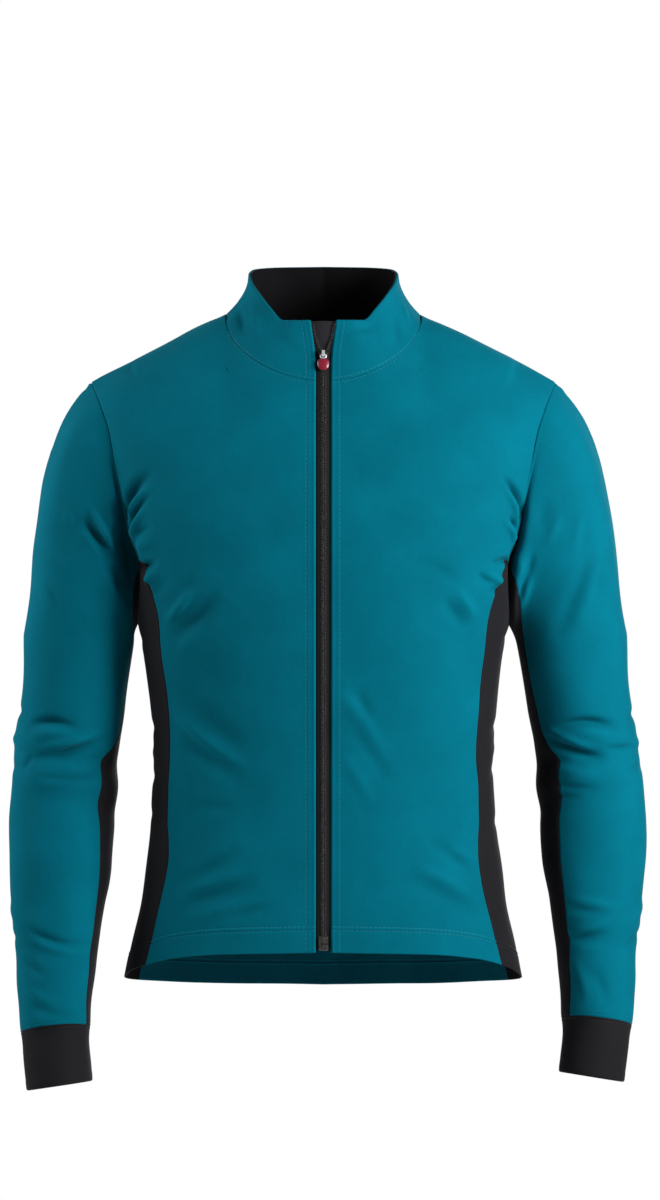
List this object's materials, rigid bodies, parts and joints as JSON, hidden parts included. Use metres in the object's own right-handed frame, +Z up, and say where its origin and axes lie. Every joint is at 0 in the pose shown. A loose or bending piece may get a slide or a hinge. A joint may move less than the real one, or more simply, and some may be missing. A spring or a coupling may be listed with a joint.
{
  "type": "cycling jacket",
  "caption": "Long-sleeved zip-front cycling jacket in teal with black side panels, undersleeves and cuffs, shaped as worn and hollow.",
  "frame": {"origin": "middle of the neck opening, at the neckline's mean height, where the jacket rests on the wearer's neck and shoulders", "axes": "+Z up, along the wearer's height; +X towards the wearer's left; the front faces -Y"},
  "size_m": [0.586, 0.2457, 0.756],
  "materials": {
    "teal_cloth": "brushed softshell knit, matt",
    "black_cloth": "brushed softshell knit, matt",
    "black_tape": "woven tape",
    "black_coil": "satin nylon coil",
    "black_lacquer": "satin lacquer",
    "steel": "polished",
    "red_rubber": "satin"
  },
  "bodies": {
    "garment": {"front_left": "teal_cloth", "front_right": "teal_cloth", "back": "teal_cloth", "sleeve_left": "teal_cloth", "sleeve_right": "teal_cloth", "collar": "teal_cloth", "side_left": "black_cloth", "side_right": "black_cloth", "undersleeve_left": "black_cloth", "undersleeve_right": "black_cloth", "cuff_left": "black_cloth", "cuff_right": "black_cloth", "collar_facing": "black_cloth", "wind_flap": "black_cloth", "zip_tape_left": "black_tape", "zip_tape_right": "black_tape", "zip_chain_left": "black_coil", "zip_chain_right": "black_coil", "zip_stop": "black_coil", "zip_slider": "black_lacquer", "zip_bridge": "steel"},
    "pull": {"pull_link": "steel", "zip_pull": "red_rubber"}
  },
  "joints": [
    {"name": "pull_swing", "type": "hinge", "parent": "garment", "child": "pull", "pos_m": [0, -0.08792, -0.02365], "axis": [-1, 0, 0], "range_deg": [0, 100]}
  ]
}
